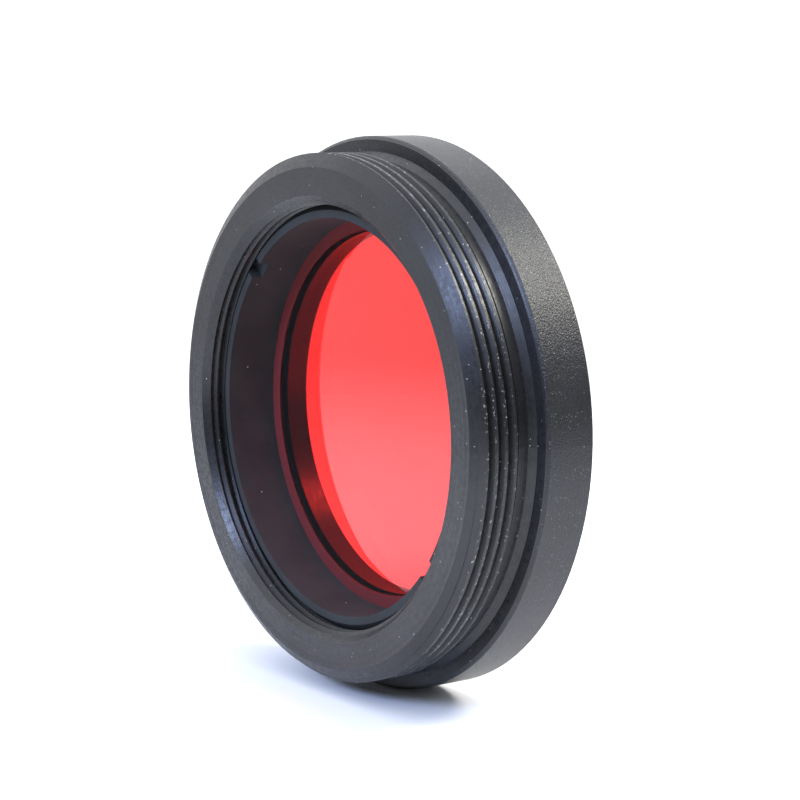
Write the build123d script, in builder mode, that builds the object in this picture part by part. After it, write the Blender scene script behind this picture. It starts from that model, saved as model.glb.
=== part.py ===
from build123d import *
import os

# Colour filter in a threaded cell for a 1.25 inch eyepiece. Millimetres.
# The optical axis is Y. The male thread points to -Y and the plain rear face to +Y, with +Z up.
# The origin is on the optical axis, half-way between the front face and the rear face.
# Distances named "..._at" are measured along the axis, back from the front face.

os.makedirs("parts", exist_ok=True)

# Overall size
total_height = 6.70
flange_radius = 15.10
flange_at = 3.65  # the seating face that stops against the eyepiece barrel
edge_chamfer = 0.18

# Male thread M28.5 x 0.6, right-handed
thread_radius = 14.25
thread_root_radius = 13.90
thread_root_flat = 0.01
thread_pitch = 0.60
thread_turns = 6
thread_end_at = 2.43
thread_phase_at = 0.84  # a groove's root crosses +X this far behind the front face

# Front face and lead-in cone
face_radius = 13.50
lead_in_end_at = 0.45

# Relief groove behind the thread, with a 45 degree cone up to the flange
relief_radius = 13.94
shoulder_radius = 14.27  # just outside the thread, so that the seat stays flat all over

# Threaded bore for the retaining ring, 23.6 x 0.5, right-handed
mouth_radius = 12.00
bore_minor_radius = 11.50
bore_root_radius = 11.82
bore_relief_radius = 11.85
bore_relief_at = 3.35
bore_turns = 8
ring_pitch = 0.50
ring_root_flat = 0.05
ring_phase_at = 0.25

# Glass and its seat
glass_radius = 11.35
glass_front_at = 4.10
glass_thickness = 1.20
glass_bevel = 0.12
pocket_radius = 11.42
pocket_at = 4.00
aperture_radius = 10.00
aperture_chamfer = 0.15

# Retaining ring
ring_inner_radius = 10.78
ring_front_at = 1.10
ring_face_radius = 11.21
ring_crest_radius = 11.75
ring_root_radius = 11.43
ring_turns = 6
ring_thread_end_at = 3.30
ring_skirt_radius = 11.35
slot_width = 1.20
slot_depth = 0.65
slot_angle = 138.4  # seen from the front, anticlockwise from +X
slot_offset = 0.43  # the saw cut misses the axis by this much, on its clockwise side

# Both threads have 60 degree V grooves with a narrow flat at the root
flank_slope = 0.57735  # tangent of the 30 degree flank angle
groove_margin = 0.03  # how far a groove tool reaches past the surface that it cuts

front = -total_height / 2
axis_out = (0, -1, 0)


def along(depth):
    """Y of a point that lies this far behind the front face."""
    return front + depth


def helix_start(phase_at, pitch, turns_before):
    """Y of the helix where it crosses +Z, a whole number of turns before the groove at +X."""
    return along(phase_at - pitch / 4 - turns_before * pitch)


def groove_turn(pitch, root_radius, root_flat, depth, start_y):
    """One turn of a V groove along a right-hand helix about +Y. A negative depth opens inwards.

    The helix starts at +Z and turns towards +X, so +X comes a quarter of a turn later.
    """
    half_flat = root_flat / 2
    half_mouth = half_flat + abs(depth) * flank_slope
    with BuildPart() as turn:
        with BuildLine() as path:
            Helix(pitch, pitch, root_radius, center=(0, start_y, 0), direction=(0, 1, 0))
        with BuildSketch(Plane(path.line @ 0, x_dir=(0, 0, 1), z_dir=path.line % 0)):
            with BuildLine():
                Polyline(
                    (0, -half_flat),
                    (0, half_flat),
                    (depth, half_mouth),
                    (depth, -half_mouth),
                    close=True,
                )
            make_face()
        sweep(path=path.line, is_frenet=True)
    return turn.part


# --- filter cell: turned in one piece ---------------------------------------------------------

male_groove = groove_turn(
    thread_pitch,
    thread_root_radius,
    thread_root_flat,
    thread_radius - thread_root_radius + groove_margin,
    helix_start(thread_phase_at, thread_pitch, 2),
)
bore_groove = groove_turn(
    ring_pitch,
    bore_root_radius,
    ring_root_flat,
    bore_minor_radius - bore_root_radius - groove_margin,
    helix_start(ring_phase_at, ring_pitch, 1),
)

relief_start_at = thread_end_at + (thread_radius - relief_radius)
relief_end_at = flange_at - (shoulder_radius - relief_radius)
mouth_end_at = mouth_radius - bore_minor_radius
glass_back_at = glass_front_at + glass_thickness

with BuildPart() as filter_cell:
    with BuildSketch(Plane.XY):
        with BuildLine():
            Polyline(
                # front face, lead-in cone and thread crest
                (mouth_radius, along(0)),
                (face_radius, along(0)),
                (thread_radius, along(lead_in_end_at)),
                (thread_radius, along(thread_end_at)),
                # relief groove and shoulder cone
                (relief_radius, along(relief_start_at)),
                (relief_radius, along(relief_end_at)),
                (shoulder_radius, along(flange_at)),
                # flange
                (flange_radius - edge_chamfer, along(flange_at)),
                (flange_radius, along(flange_at + edge_chamfer)),
                (flange_radius, along(total_height - edge_chamfer)),
                (flange_radius - edge_chamfer, along(total_height)),
                # rear face and clear aperture
                (aperture_radius + aperture_chamfer, along(total_height)),
                (aperture_radius, along(total_height - aperture_chamfer)),
                (aperture_radius, along(glass_back_at)),
                # seat and pocket for the glass
                (pocket_radius, along(glass_back_at)),
                (pocket_radius, along(pocket_at)),
                # thread relief and threaded bore
                (bore_relief_radius, along(pocket_at)),
                (bore_relief_radius, along(bore_relief_at)),
                (bore_minor_radius, along(bore_relief_at)),
                (bore_minor_radius, along(mouth_end_at)),
                close=True,
            )
        make_face()
    revolve(axis=Axis.Y)
    for turn in range(thread_turns):
        add(male_groove.moved(Location((0, turn * thread_pitch, 0))), mode=Mode.SUBTRACT)
    for turn in range(bore_turns):
        add(bore_groove.moved(Location((0, turn * ring_pitch, 0))), mode=Mode.SUBTRACT)

filter_cell.part.label = "filter_cell"
export_step(filter_cell.part, "parts/filter_cell.step")


# --- retaining ring: tall threaded tube with two spanner slots ---------------------------------

# The ring's grooves take the bore's ridges, so they lie half a pitch away from the bore's grooves.
ring_groove = groove_turn(
    ring_pitch,
    ring_root_radius,
    ring_root_flat,
    ring_crest_radius - ring_root_radius + groove_margin,
    helix_start(ring_phase_at + ring_pitch / 2, ring_pitch, -1),
)

ring_lead_in = ring_crest_radius - ring_face_radius
ring_run_out = ring_crest_radius - ring_skirt_radius

with BuildPart() as retaining_ring:
    with BuildSketch(Plane.XY):
        with BuildLine():
            Polyline(
                (ring_inner_radius, along(ring_front_at)),
                (ring_face_radius, along(ring_front_at)),
                (ring_crest_radius, along(ring_front_at + ring_lead_in)),
                (ring_crest_radius, along(ring_thread_end_at)),
                (ring_skirt_radius, along(ring_thread_end_at + ring_run_out)),
                (ring_skirt_radius, along(glass_front_at)),
                (ring_inner_radius, along(glass_front_at)),
                close=True,
            )
        make_face()
    revolve(axis=Axis.Y)

    # One straight saw cut across the front makes both spanner slots, right through the wall.
    saw_line = Vector(1, 0, 0).rotate(Axis.Y, -slot_angle)
    slot_length = 2 * ring_crest_radius + 2
    with BuildSketch(Plane((0, along(ring_front_at), 0), x_dir=saw_line, z_dir=axis_out)):
        with Locations((0, -slot_offset)):
            Rectangle(slot_length, slot_width)
    extrude(amount=-slot_depth, mode=Mode.SUBTRACT)

    for turn in range(ring_turns):
        add(ring_groove.moved(Location((0, turn * ring_pitch, 0))), mode=Mode.SUBTRACT)

retaining_ring.part.label = "retaining_ring"
export_step(retaining_ring.part, "parts/retaining_ring.step")


# --- filter glass: red disc with a small ground bevel on both edges ----------------------------

with BuildPart() as filter_glass:
    with BuildSketch(Plane((0, along(glass_front_at), 0), x_dir=(1, 0, 0), z_dir=(0, 1, 0))):
        Circle(glass_radius)
    extrude(amount=glass_thickness)
    chamfer(filter_glass.edges().filter_by(GeomType.CIRCLE), glass_bevel)

filter_glass.part.label = "filter_glass"
export_step(filter_glass.part, "parts/filter_glass.step")
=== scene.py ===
"""Red colour filter in a black threaded cell, standing on its rim on a pale floor."""
import math

import bpy
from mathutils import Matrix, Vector


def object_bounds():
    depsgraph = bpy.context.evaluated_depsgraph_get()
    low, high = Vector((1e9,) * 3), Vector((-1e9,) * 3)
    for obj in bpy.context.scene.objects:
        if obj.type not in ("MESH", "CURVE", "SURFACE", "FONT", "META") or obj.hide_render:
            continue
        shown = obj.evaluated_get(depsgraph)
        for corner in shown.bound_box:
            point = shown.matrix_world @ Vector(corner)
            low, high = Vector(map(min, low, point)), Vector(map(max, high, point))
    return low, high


MM = 0.001
QUARTER_TURN = 0.25  # shader nodes count rotation in whole turns

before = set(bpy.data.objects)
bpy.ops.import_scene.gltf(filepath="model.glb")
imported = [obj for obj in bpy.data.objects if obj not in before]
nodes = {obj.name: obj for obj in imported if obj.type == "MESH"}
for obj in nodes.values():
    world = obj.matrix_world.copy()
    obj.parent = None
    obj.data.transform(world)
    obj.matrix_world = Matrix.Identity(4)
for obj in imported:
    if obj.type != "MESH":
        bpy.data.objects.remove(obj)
cad_low, cad_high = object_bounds()


# --- small helpers for shader nodes -------------------------------------------------------------


class Nodes:
    """Short calls that add nodes to one node tree and return the output that is used next."""

    def __init__(self, tree):
        self.tree = tree

    def put(self, socket, value):
        """Sets a socket to a fixed value, or links it to another node's output."""
        if isinstance(value, bpy.types.NodeSocket):
            self.tree.links.new(value, socket)
        else:
            socket.default_value = value

    def add(self, kind, inputs=(), **settings):
        node = self.tree.nodes.new(kind)
        for name, value in settings.items():
            setattr(node, name, value)
        for key, value in dict(inputs).items():
            self.put(node.inputs[key], value)
        return node

    def calc(self, operation, *values):
        return self.add("ShaderNodeMath", dict(enumerate(values)), operation=operation).outputs[0]

    def ramp(self, value, low, high, to_low=0.0, to_high=1.0):
        """Maps value from low..high to to_low..to_high with soft ends."""
        node = self.add(
            "ShaderNodeMapRange",
            {"Value": value, "From Min": low, "From Max": high, "To Min": to_low, "To Max": to_high},
            interpolation_type="SMOOTHSTEP",
        )
        return node.outputs["Result"]

    def band(self, value, start, full, still_full, end):
        """Rises from 0 to 1 between start and full, and falls back between still_full and end."""
        rise = self.ramp(value, start, full)
        return self.calc("MULTIPLY", rise, self.ramp(value, end, still_full))

    def mix(self, factor, first, second):
        """Blends two colours."""
        node = self.add("ShaderNodeMix", {0: factor, 6: first, 7: second}, data_type="RGBA")
        return node.outputs[2]

    def blend(self, factor, first, second):
        """Blends two numbers."""
        return self.add("ShaderNodeMix", {0: factor, 2: first, 3: second}, data_type="FLOAT").outputs[0]

    def noise(self, vector, scale, detail=3.0, roughness=0.5):
        node = self.add(
            "ShaderNodeTexNoise",
            {"Vector": vector, "Scale": scale, "Detail": detail, "Roughness": roughness},
        )
        return node.outputs["Fac"]

    def specks(self, place, per_mm, size, share):
        """Round specks: a mask that is 1 inside a few small dots, each near one cell's point.

        The size is a dot's radius as a part of a cell, and share is the part of cells with a dot.
        """
        cells = self.add("ShaderNodeTexVoronoi", {"Vector": place, "Scale": per_mm})
        dot = self.calc("LESS_THAN", cells.outputs["Distance"], size)
        lot = self.add("ShaderNodeSeparateColor", {0: cells.outputs["Color"]}).outputs[0]
        return self.calc("MULTIPLY", dot, self.calc("LESS_THAN", lot, share))

    def turning(self, radius, y, lines_per_mm):
        """Noise that is constant round the axis, as the lines that a lathe tool leaves."""
        across = self.add("ShaderNodeCombineXYZ", {0: radius, 1: y}).outputs[0]
        return self.noise(across, lines_per_mm, roughness=0.6)

    def bump(self, height, depth_mm, strength, normal=None):
        inputs = {"Height": height, "Distance": depth_mm * MM, "Strength": strength}
        if normal is not None:
            inputs["Normal"] = normal
        return self.add("ShaderNodeBump", inputs).outputs["Normal"]


class Material(Nodes):
    """A new node material with a Principled shader."""

    def __init__(self, name):
        self.material = bpy.data.materials.new(name)
        self.material.use_nodes = True
        super().__init__(self.material.node_tree)
        self.shader = self.tree.nodes["Principled BSDF"]

    def set(self, name, value):
        self.put(self.shader.inputs[name], value)

    def place_mm(self):
        """Object coordinates in millimetres, the radius from the optical axis, and Y."""
        coords = self.add("ShaderNodeTexCoord").outputs["Object"]
        place = self.add("ShaderNodeVectorMath", {0: coords, "Scale": 1 / MM}, operation="SCALE").outputs[0]
        x, y, z = self.add("ShaderNodeSeparateXYZ", {0: place}).outputs
        flat = self.add("ShaderNodeCombineXYZ", {0: x, 2: z}).outputs[0]
        radius = self.add("ShaderNodeVectorMath", {0: flat}, operation="LENGTH").outputs["Value"]
        return place, radius, y

    def turned_tangent(self, anisotropy):
        """Stretches highlights across the turning lines, which run round Y."""
        tangent = self.add("ShaderNodeTangent", direction_type="RADIAL", axis="Y").outputs[0]
        self.set("Tangent", tangent)
        self.set("Anisotropic", anisotropy)
        self.set("Anisotropic Rotation", QUARTER_TURN)


# --- materials ----------------------------------------------------------------------------------

NOISE_RANGE = (0.3, 0.7)  # nearly all values of a noise lie between these
CLOUD_RANGE = (0.35, 0.65)

DUST_COLOUR = (0.62, 0.62, 0.60, 1)

# Places on the cell, as radius from the axis or Y along it, in millimetres
RIM_RADIUS = 15.02  # the cell is blasted outside this radius
RIM_BLEND = 0.06
CREST_RADIUS = 14.25  # the male thread's crests
CREST_SPARKLE_REACH = (0.05, 0.02)  # how far from the crest radius the painted sparkle spots start, and are full
THREAD_END_Y = -0.9
SEAT_Y = 1.95  # the seat behind the glass
SEAT_REACH = 0.02
PAINTED_SEAT_LIGHT_RADII = (10.30, 10.75, 11.10, 11.40)  # radii where the painted light band on the seat starts, is full and ends

CELL_BLACK = ((0.011, 0.011, 0.012, 1), (0.015, 0.015, 0.017, 1))
GLINT_COLOUR = (0.09, 0.09, 0.08, 1)
# painted highlight on the thread's crests, standing in for their sparkle
PAINTED_CREST_SPARKLE_COLOUR = (0.30, 0.30, 0.31, 1)
# painted light on the seat behind the glass
PAINTED_SEAT_LIGHT_COLOUR = (0.16, 0.16, 0.17, 1)
TURNED_ROUGHNESS = (0.22, 0.38)
WEAR_ROUGHNESS = (0.0, 0.14)  # added to the turned faces in patches
BLASTED_ROUGHNESS = (0.26, 0.40)
FLAT = 0.5  # an even height, where a bump has nothing to show


def anodised_cell():
    """Black anodising over turned faces, with a blasted rim and a few specks of white dust."""
    m = Material("cell_black_anodised")
    place, radius, y = m.place_mm()
    rim = m.ramp(radius, RIM_RADIUS - RIM_BLEND, RIM_RADIUS)

    cloud = m.ramp(m.noise(place, scale=0.35), *CLOUD_RANGE)
    grain = m.noise(place, scale=14.0, roughness=0.7)
    grit = m.noise(place, scale=10.0, detail=2.0, roughness=0.7)
    coarse_lines = m.turning(radius, y, lines_per_mm=7.0)
    fine_lines = m.turning(radius, y, lines_per_mm=22.0)

    colour = m.mix(cloud, *CELL_BLACK)

    # painted light: a lighter grey band on the seat stands in for the seat lit through the glass
    off_seat = m.calc("ABSOLUTE", m.calc("SUBTRACT", y, SEAT_Y))
    on_seat = m.calc("LESS_THAN", off_seat, SEAT_REACH)
    painted_seat_light = m.calc("MULTIPLY", m.band(radius, *PAINTED_SEAT_LIGHT_RADII), on_seat)
    colour = m.mix(painted_seat_light, colour, PAINTED_SEAT_LIGHT_COLOUR)

    # painted highlight: the thread's crests are lighter in small spots, standing in for the sparkle along
    # them
    off_crest = m.calc("ABSOLUTE", m.calc("SUBTRACT", radius, CREST_RADIUS))
    on_thread = m.calc("LESS_THAN", y, THREAD_END_Y)
    crest = m.calc("MULTIPLY", m.ramp(off_crest, *CREST_SPARKLE_REACH), on_thread)
    painted_crest_sparkle = m.ramp(m.noise(place, scale=5.0, detail=4.0, roughness=0.7), low=0.60, high=0.66)
    colour = m.mix(m.calc("MULTIPLY", crest, painted_crest_sparkle), colour, PAINTED_CREST_SPARKLE_COLOUR)

    # large and small specks of dust, and tiny glints on the blasted rim
    large_dust = m.specks(place, per_mm=1.6, size=0.045, share=0.30)
    small_dust = m.specks(place, per_mm=3.5, size=0.075, share=0.10)
    colour = m.mix(m.calc("MAXIMUM", large_dust, small_dust), colour, DUST_COLOUR)
    glints = m.calc("MULTIPLY", rim, m.specks(place, per_mm=6.0, size=0.22, share=0.30))
    m.set("Base Color", m.mix(glints, colour, GLINT_COLOUR))

    # handling has dulled the turned faces in patches
    patches = m.noise(place, scale=3.0, detail=5.0, roughness=0.75)
    wear = m.ramp(patches, 0.42, 0.62, *WEAR_ROUGHNESS)
    turned = m.calc("ADD", m.ramp(fine_lines, *NOISE_RANGE, *TURNED_ROUGHNESS), wear)
    blasted = m.ramp(grain, *NOISE_RANGE, *BLASTED_ROUGHNESS)
    m.set("Roughness", m.blend(rim, turned, blasted))
    m.set("IOR", 1.5)
    m.turned_tangent(0.7)

    # turning lines and grain on the turned faces, and grit on the rim
    relief = m.bump(coarse_lines, depth_mm=0.012, strength=0.7)
    relief = m.bump(fine_lines, depth_mm=0.006, strength=0.8, normal=relief)
    relief = m.bump(m.blend(rim, grain, FLAT), depth_mm=0.010, strength=0.7, normal=relief)
    relief = m.bump(m.calc("MULTIPLY", grit, rim), depth_mm=0.042, strength=0.8, normal=relief)
    m.set("Normal", relief)
    return m.material


RING_BLACK = ((0.029, 0.033, 0.035, 1), (0.036, 0.040, 0.042, 1))
RING_ROUGHNESS = (0.58, 0.70)


def anodised_ring():
    """The same anodising on the ring, duller, with turning lines round its bore."""
    m = Material("ring_black_anodised")
    place, radius, y = m.place_mm()
    cloud = m.ramp(m.noise(place, scale=0.4), *CLOUD_RANGE)
    grain = m.noise(place, scale=16.0)
    lines = m.turning(radius, y, lines_per_mm=12.0)

    dust = m.specks(place, per_mm=1.4, size=0.05, share=0.12)
    m.set("Base Color", m.mix(dust, m.mix(cloud, *RING_BLACK), DUST_COLOUR))
    m.set("Roughness", m.ramp(grain, *NOISE_RANGE, *RING_ROUGHNESS))
    m.set("Specular IOR Level", 0.15)
    m.turned_tangent(0.4)
    relief = m.bump(lines, depth_mm=0.005, strength=0.5)
    m.set("Normal", m.bump(grain, depth_mm=0.004, strength=0.5, normal=relief))
    return m.material


# Radii on the glass, in millimetres
GROUND_EDGE_RADIUS = 11.24  # the glass is ground and dull outside this radius
GROUND_EDGE_BLEND = 0.03
PAINTED_SEAT_BAND = (9.96, 10.16, 11.20, 11.26)  # where the painted dim band over the seat starts, is full and ends

GLASS_TINT = ((1.0, 0.028, 0.025, 1), (1.0, 0.033, 0.029, 1))
GROUND_EDGE_COLOUR = (0.22, 0.02, 0.02, 1)
# painted light: a dim, partly opaque red band that stands in for the seat seen lit through the glass
PAINTED_SEAT_BAND_COLOUR = (0.24, 0.035, 0.040, 1)
GROUND_EDGE_OPACITY = 0.75
PAINTED_SEAT_BAND_OPACITY = 0.6
POLISHED_ROUGHNESS = (0.0, 0.02)
GROUND_ROUGHNESS = 0.75


def red_glass():
    """Polished red glass with a dull ground edge, a faint haze, and a painted dim band over its seat, which
    stands in for the seat seen lit through the glass.
    """
    m = Material("red_filter_glass")
    place, radius, _ = m.place_mm()
    haze = m.noise(place, scale=0.6, detail=4.0)
    edge = m.ramp(radius, GROUND_EDGE_RADIUS - GROUND_EDGE_BLEND, GROUND_EDGE_RADIUS)
    # painted light over the seat
    painted_seat_band = m.band(radius, *PAINTED_SEAT_BAND)

    colour = m.mix(m.ramp(haze, *NOISE_RANGE), *GLASS_TINT)
    colour = m.mix(edge, colour, GROUND_EDGE_COLOUR)
    m.set("Base Color", m.mix(painted_seat_band, colour, PAINTED_SEAT_BAND_COLOUR))

    ground = m.calc("MULTIPLY", edge, GROUND_EDGE_OPACITY)
    opaque = m.calc("MAXIMUM", ground, m.calc("MULTIPLY", painted_seat_band, PAINTED_SEAT_BAND_OPACITY))
    m.set("Transmission Weight", m.blend(opaque, 1.0, 0.0))
    polished = m.ramp(haze, 0.35, 0.75, *POLISHED_ROUGHNESS)
    m.set("Roughness", m.blend(edge, polished, GROUND_ROUGHNESS))
    m.set("Sheen Weight", 0.09)
    m.set("IOR", 1.52)
    return m.material


def give(node_name, material):
    for slot in nodes[node_name].material_slots:
        slot.material = material


give("filter_cell", anodised_cell())
give("retaining_ring", anodised_ring())
give("filter_glass", red_glass())


# --- stage: floor, lights and camera ------------------------------------------------------------

CAMERA_AZIMUTH = math.radians(54.34)  # from -Y towards +X
CAMERA_ELEVATION = math.radians(7.91)
CAMERA_DISTANCE = 121.2 * MM
CAMERA_AIM = Vector((0.94, 1.50, 0.79)) * MM
CAMERA_LENS = 100
CAMERA_NEAR = 5 * MM
CAMERA_FAR = 10

FLOOR_RADIUS = 0.16
FLOOR_FADE_RADIUS = 0.045  # the floor starts to fade this far from its centre
FLOOR_SIDES = 96
FIBRES_PER_METRE = 900
PAPER = ((0.84, 0.85, 0.87, 1), (0.85, 0.86, 0.88, 1))

BACKDROP = (1.24, 1.25, 1.27, 1)  # what the camera sees behind the floor
ROOM_BRIGHT = (1.18, 1.20, 1.24, 1)  # the lit side of the room, behind the object
ROOM_DIM = (0.20, 0.21, 0.23, 1)  # the side behind the camera
ROOM_LIFT = 0.15  # tilts the bright side up a little
ROOM_FADE = (-0.15, 0.65)  # from dim to bright, as the cosine to the bright side's middle
CEILING = (1.95, 2.0, 2.1, 1)  # a large soft light overhead
CEILING_FADE = (0.25, 0.85)  # from the room to the ceiling, as the upward part of the direction


def pale_floor():
    """Near-white matt paper that fades into the backdrop, so that no horizon line shows."""
    m = Material("pale_paper")
    coords = m.add("ShaderNodeTexCoord").outputs["Object"]
    m.set("Base Color", m.mix(m.noise(coords, FIBRES_PER_METRE), *PAPER))
    m.set("Roughness", 0.9)
    m.set("Specular IOR Level", 0.1)
    distance = m.add("ShaderNodeVectorMath", {0: coords}, operation="LENGTH").outputs["Value"]
    m.set("Alpha", m.ramp(distance, FLOOR_RADIUS, FLOOR_FADE_RADIUS))
    return m.material


def make_floor():
    mesh = bpy.data.meshes.new("floor")
    turns = [2 * math.pi * i / FLOOR_SIDES for i in range(FLOOR_SIDES)]
    points = [(FLOOR_RADIUS * math.cos(a), FLOOR_RADIUS * math.sin(a), 0) for a in turns]
    mesh.from_pydata(points, [], [list(range(FLOOR_SIDES))])
    mesh.materials.append(pale_floor())
    floor = bpy.data.objects.new("floor", mesh)
    floor.location.z = cad_low.z
    bpy.context.scene.collection.objects.link(floor)


def add_sun(name, towards, strength, angle, colour):
    """A soft distant light. towards points from the object to the light."""
    light = bpy.data.lights.new(name, "SUN")
    light.energy = strength
    light.angle = math.radians(angle)
    light.color = colour
    lamp = bpy.data.objects.new(name, light)
    lamp.rotation_mode = "QUATERNION"
    lamp.rotation_quaternion = Vector(towards).to_track_quat("Z", "Y")
    bpy.context.scene.collection.objects.link(lamp)


def make_world():
    """A room that is bright on the far side and overhead, and an even white backdrop.

    The backdrop is what the camera sees directly. The room lights the object and is reflected in it.
    """
    world = bpy.data.worlds.new("studio")
    world.use_nodes = True
    n = Nodes(world.node_tree)

    direction = n.add("ShaderNodeTexCoord").outputs["Generated"]
    far_side = (-math.sin(CAMERA_AZIMUTH), math.cos(CAMERA_AZIMUTH), ROOM_LIFT)
    facing = n.add("ShaderNodeVectorMath", {0: direction, 1: far_side}, operation="DOT_PRODUCT")
    room = n.mix(n.ramp(facing.outputs["Value"], *ROOM_FADE), ROOM_DIM, ROOM_BRIGHT)

    upward = n.add("ShaderNodeSeparateXYZ", {0: direction}).outputs["Z"]
    lit = n.mix(n.ramp(upward, *CEILING_FADE), room, CEILING)

    seen_directly = n.add("ShaderNodeLightPath").outputs["Is Camera Ray"]
    background = n.tree.nodes["Background"]
    n.put(background.inputs["Color"], n.mix(seen_directly, lit, BACKDROP))
    bpy.context.scene.world = world


def make_camera():
    back = Vector(
        (
            math.sin(CAMERA_AZIMUTH) * math.cos(CAMERA_ELEVATION),
            -math.cos(CAMERA_AZIMUTH) * math.cos(CAMERA_ELEVATION),
            math.sin(CAMERA_ELEVATION),
        )
    )
    data = bpy.data.cameras.new("camera")
    data.lens = CAMERA_LENS
    data.clip_start = CAMERA_NEAR
    data.clip_end = CAMERA_FAR
    camera = bpy.data.objects.new("camera", data)
    camera.location = CAMERA_AIM + back * CAMERA_DISTANCE
    camera.rotation_mode = "QUATERNION"
    camera.rotation_quaternion = (-back).to_track_quat("-Z", "Y")
    bpy.context.scene.collection.objects.link(camera)
    bpy.context.scene.camera = camera


make_floor()
make_world()
add_sun("front_window", towards=(0.12, -0.85, 0.52), strength=2.6, angle=18, colour=(0.46, 0.60, 1.0))
add_sun("back_top", towards=(0.40, 0.58, 0.71), strength=2.3, angle=16, colour=(1.0, 0.97, 0.88))
make_camera()

view_settings = bpy.context.scene.view_settings
view_settings.view_transform = "Standard"
view_settings.look = "None"
view_settings.exposure = 0
view_settings.gamma = 1
